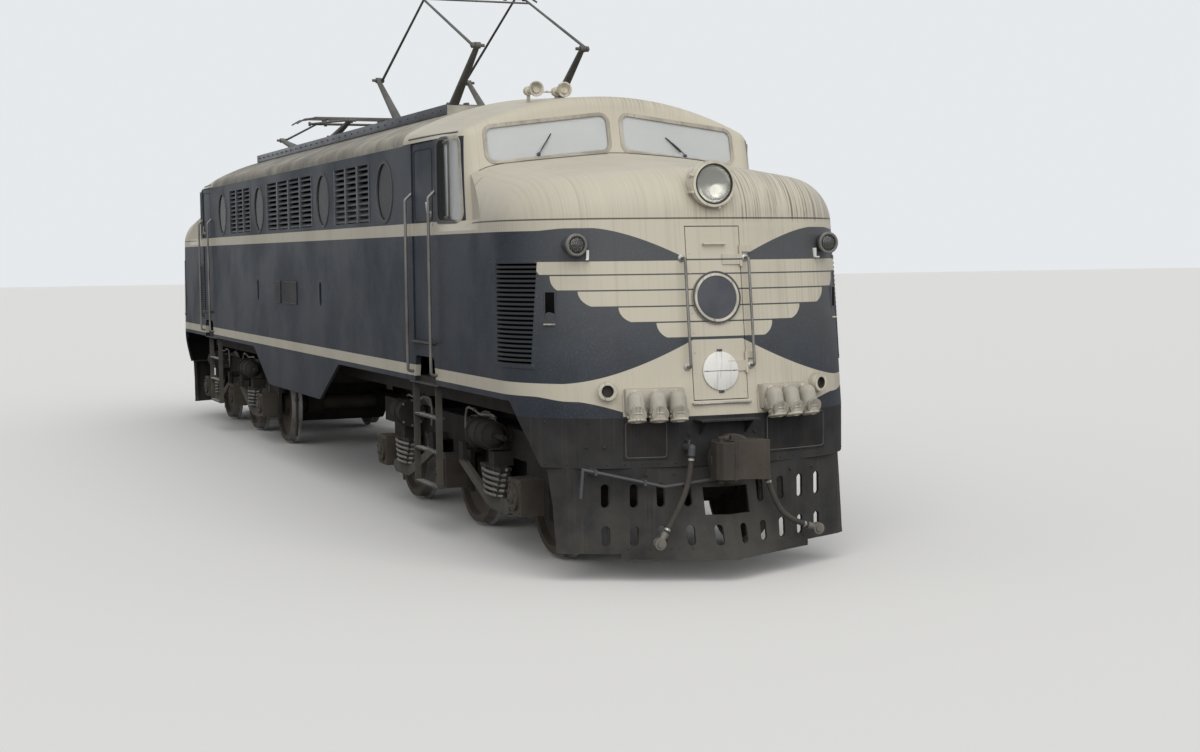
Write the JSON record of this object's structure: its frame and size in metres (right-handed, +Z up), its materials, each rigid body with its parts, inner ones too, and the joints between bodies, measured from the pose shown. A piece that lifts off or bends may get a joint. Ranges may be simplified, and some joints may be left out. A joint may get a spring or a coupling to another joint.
{
  "type": "double-ended electric locomotive",
  "caption": "Electric locomotive with a rounded nose and cab at each end, folding roof current collectors, swivelling bogies, turning wheelsets and hinged doors.",
  "frame": {"origin": "centre of the footprint, at the height of the wheel flange tips", "axes": "+X towards the front cab along the track, +Y to the left, +Z up"},
  "size_m": [17.98, 3.068, 5.3618],
  "materials": {
    "body_paint": "semi-gloss slate blue body enamel with pale stripes, weathered",
    "roof_paint": "flat pale roof paint, sooty",
    "underframe_paint": "flat charcoal underframe paint, dusty",
    "wheel_steel": "rolled steel wheels, brown dust, bright treads",
    "cast_steel": "rough cast steel",
    "bright_steel": "bare steel",
    "louvre_paint": "dark enamel on pressed louvres",
    "glass": "clear flat glass",
    "lamp_glass": "ribbed clear lamp glass",
    "seat_cloth": "dark brown woven cover",
    "rubber": "black window rubber",
    "hose_rubber": "woven-cover air hose",
    "pan_tube": "grey painted tube, grimy",
    "insulator": "brown glazed porcelain",
    "lamp_housing": "pale enamel",
    "interior_paint": "grey-green cab enamel"
  },
  "bodies": {
    "body": {"underframe": "underframe_paint", "side_right": "body_paint", "side_left": "body_paint", "roof": "roof_paint", "side_louvres": "louvre_paint", "side_grilles": "louvre_paint", "cab_front": "body_paint", "cab_rear": "body_paint", "nose_front": "body_paint", "nose_rear": "body_paint", "pilot_front": "underframe_paint", "pilot_rear": "underframe_paint", "couplers": "cast_steel", "cab_glass": "glass", "window_seals": "rubber", "lamp_lenses": "lamp_glass", "headlights": "lamp_housing", "handrails": "bright_steel", "ladders": "underframe_paint", "horns": "bright_steel", "cab_desks": "interior_paint", "cab_seats": "seat_cloth", "end_fittings": "lamp_housing", "machinery_block": "interior_paint", "blank_plates": "bright_steel", "pantograph_bases": "pan_tube", "pan_insulators": "insulator", "hose_brake": "hose_rubber", "hose_brake_coupling": "cast_steel", "hose_main": "hose_rubber", "hose_main_coupling": "cast_steel"},
    "cab_door_front_right": {"cab_door_front_right": "body_paint"},
    "cab_door_front_left": {"cab_door_front_left": "body_paint"},
    "nose_door_front": {"nose_door_front": "body_paint"},
    "bogie_front": {"bogie_frame_front": "underframe_paint", "axle_boxes_front": "cast_steel", "running_gear_front": "underframe_paint"},
    "wheelset_front_1": {"wheelset_front_1": "wheel_steel"},
    "wheelset_front_2": {"wheelset_front_2": "wheel_steel"},
    "wheelset_front_3": {"wheelset_front_3": "wheel_steel"},
    "pan_front_lower_arm_a": {"pan_front_lower_arm_a": "pan_tube"},
    "pan_front_lower_arm_b": {"pan_front_lower_arm_b": "pan_tube"},
    "pan_front_upper_arm_a": {"pan_front_upper_arm_a": "pan_tube"},
    "pan_front_upper_arm_b": {"pan_front_upper_arm_b": "pan_tube"},
    "pan_front_head": {"pan_front_head": "pan_tube"},
    "cab_door_rear_right": {"cab_door_rear_right": "body_paint"},
    "cab_door_rear_left": {"cab_door_rear_left": "body_paint"},
    "nose_door_rear": {"nose_door_rear": "body_paint"},
    "bogie_rear": {"bogie_frame_rear": "underframe_paint", "axle_boxes_rear": "cast_steel", "running_gear_rear": "underframe_paint"},
    "wheelset_rear_1": {"wheelset_rear_1": "wheel_steel"},
    "wheelset_rear_2": {"wheelset_rear_2": "wheel_steel"},
    "wheelset_rear_3": {"wheelset_rear_3": "wheel_steel"},
    "pan_rear_lower_arm_a": {"pan_rear_lower_arm_a": "pan_tube"},
    "pan_rear_lower_arm_b": {"pan_rear_lower_arm_b": "pan_tube"},
    "pan_rear_upper_arm_a": {"pan_rear_upper_arm_a": "pan_tube"},
    "pan_rear_upper_arm_b": {"pan_rear_upper_arm_b": "pan_tube"},
    "pan_rear_head": {"pan_rear_head": "pan_tube"}
  },
  "joints": [
    {"name": "bogie_front_yaw", "type": "hinge", "parent": "body", "child": "bogie_front", "pos_m": [5.2, 0, 1.1], "axis": [0, 0, 1], "range_deg": [-2.5, 2.5]},
    {"name": "wheelset_front_1_spin", "type": "hinge", "parent": "bogie_front", "child": "wheelset_front_1", "pos_m": [7.25, 0, 0.536], "axis": [0, 1, 0], "continuous": true},
    {"name": "wheelset_front_2_spin", "type": "hinge", "parent": "bogie_front", "child": "wheelset_front_2", "pos_m": [5.2, 0, 0.536], "axis": [0, 1, 0], "continuous": true},
    {"name": "wheelset_front_3_spin", "type": "hinge", "parent": "bogie_front", "child": "wheelset_front_3", "pos_m": [3.15, 0, 0.536], "axis": [0, 1, 0], "continuous": true},
    {"name": "bogie_rear_yaw", "type": "hinge", "parent": "body", "child": "bogie_rear", "pos_m": [-5.2, 0, 1.1], "axis": [0, 0, 1], "range_deg": [-2.5, 2.5]},
    {"name": "wheelset_rear_1_spin", "type": "hinge", "parent": "bogie_rear", "child": "wheelset_rear_1", "pos_m": [-7.25, 0, 0.536], "axis": [0, 1, 0], "continuous": true},
    {"name": "wheelset_rear_2_spin", "type": "hinge", "parent": "bogie_rear", "child": "wheelset_rear_2", "pos_m": [-5.2, 0, 0.536], "axis": [0, 1, 0], "continuous": true},
    {"name": "wheelset_rear_3_spin", "type": "hinge", "parent": "bogie_rear", "child": "wheelset_rear_3", "pos_m": [-3.15, 0, 0.536], "axis": [0, 1, 0], "continuous": true},
    {"name": "cab_door_front_right_hinge", "type": "hinge", "parent": "body", "child": "cab_door_front_right", "pos_m": [5.216, -1.403, 2.6], "axis": [0, 0, 1], "range_deg": [0, 85]},
    {"name": "cab_door_front_left_hinge", "type": "hinge", "parent": "body", "child": "cab_door_front_left", "pos_m": [5.216, 1.403, 2.6], "axis": [0, 0, -1], "range_deg": [0, 85]},
    {"name": "cab_door_rear_left_hinge", "type": "hinge", "parent": "body", "child": "cab_door_rear_left", "pos_m": [-5.216, 1.403, 2.6], "axis": [0, 0, 1], "range_deg": [0, 85]},
    {"name": "cab_door_rear_right_hinge", "type": "hinge", "parent": "body", "child": "cab_door_rear_right", "pos_m": [-5.216, -1.403, 2.6], "axis": [0, 0, -1], "range_deg": [0, 85]},
    {"name": "nose_door_front_hinge", "type": "hinge", "parent": "body", "child": "nose_door_front", "pos_m": [8.56067, 0.228, 2.028], "axis": [-0.1152, 0, 0.9933], "range_deg": [0, 85]},
    {"name": "nose_door_rear_hinge", "type": "hinge", "parent": "body", "child": "nose_door_rear", "pos_m": [-8.56067, -0.228, 2.028], "axis": [0.1152, 0, 0.9933], "range_deg": [0, 85]},
    {"name": "pan_front_raise", "type": "hinge", "parent": "body", "child": "pan_front_lower_arm_a", "pos_m": [3.57, 0, 4.013], "axis": [0, -1, 0], "range_deg": [-22.56, 2.44]},
    {"name": "pan_front_raise_b", "type": "hinge", "parent": "body", "child": "pan_front_lower_arm_b", "pos_m": [1.57, 0, 4.013], "axis": [0, 1, 0], "range_deg": [-22.56, 2.44]},
    {"name": "pan_front_knee_a", "type": "hinge", "parent": "pan_front_lower_arm_a", "child": "pan_front_upper_arm_a", "pos_m": [4.40002, 0, 4.543], "axis": [0, 1, 0], "range_deg": [-41.74, 4.56]},
    {"name": "pan_front_knee_b", "type": "hinge", "parent": "pan_front_lower_arm_b", "child": "pan_front_upper_arm_b", "pos_m": [0.73998, 0, 4.543], "axis": [0, -1, 0], "range_deg": [-41.74, 4.56]},
    {"name": "pan_front_head_level", "type": "hinge", "parent": "pan_front_upper_arm_b", "child": "pan_front_head", "pos_m": [2.57, 0, 5.278], "axis": [0, 1, 0], "range_deg": [-19.18, 2.12]},
    {"name": "pan_rear_raise", "type": "hinge", "parent": "body", "child": "pan_rear_lower_arm_a", "pos_m": [-1.57, 0, 4.013], "axis": [0, -1, 0], "range_deg": [0, 25]},
    {"name": "pan_rear_raise_b", "type": "hinge", "parent": "body", "child": "pan_rear_lower_arm_b", "pos_m": [-3.57, 0, 4.013], "axis": [0, 1, 0], "range_deg": [0, 25]},
    {"name": "pan_rear_knee_a", "type": "hinge", "parent": "pan_rear_lower_arm_a", "child": "pan_rear_upper_arm_a", "pos_m": [-0.60016, 0, 4.18401], "axis": [0, 1, 0], "range_deg": [-0.05, 45.95]},
    {"name": "pan_rear_knee_b", "type": "hinge", "parent": "pan_rear_lower_arm_b", "child": "pan_rear_upper_arm_b", "pos_m": [-4.53984, 0, 4.18401], "axis": [0, -1, 0], "range_deg": [-0.05, 45.95]},
    {"name": "pan_rear_head_level", "type": "hinge", "parent": "pan_rear_upper_arm_b", "child": "pan_rear_head", "pos_m": [-2.57, 0, 4.27842], "axis": [0, 1, 0], "range_deg": [-0.05, 20.95]}
  ],
  "couplings": [
    {"joint": "pan_front_raise_b", "follows": "pan_front_raise", "ratio": 1},
    {"joint": "pan_front_knee_a", "follows": "pan_front_raise", "ratio": 1.848},
    {"joint": "pan_front_knee_b", "follows": "pan_front_raise", "ratio": 1.848},
    {"joint": "pan_front_head_level", "follows": "pan_front_raise", "ratio": 0.848},
    {"joint": "pan_rear_raise_b", "follows": "pan_rear_raise", "ratio": 1},
    {"joint": "pan_rear_knee_a", "follows": "pan_rear_raise", "ratio": 1.836},
    {"joint": "pan_rear_knee_b", "follows": "pan_rear_raise", "ratio": 1.836},
    {"joint": "pan_rear_head_level", "follows": "pan_rear_raise", "ratio": 0.836}
  ]
}
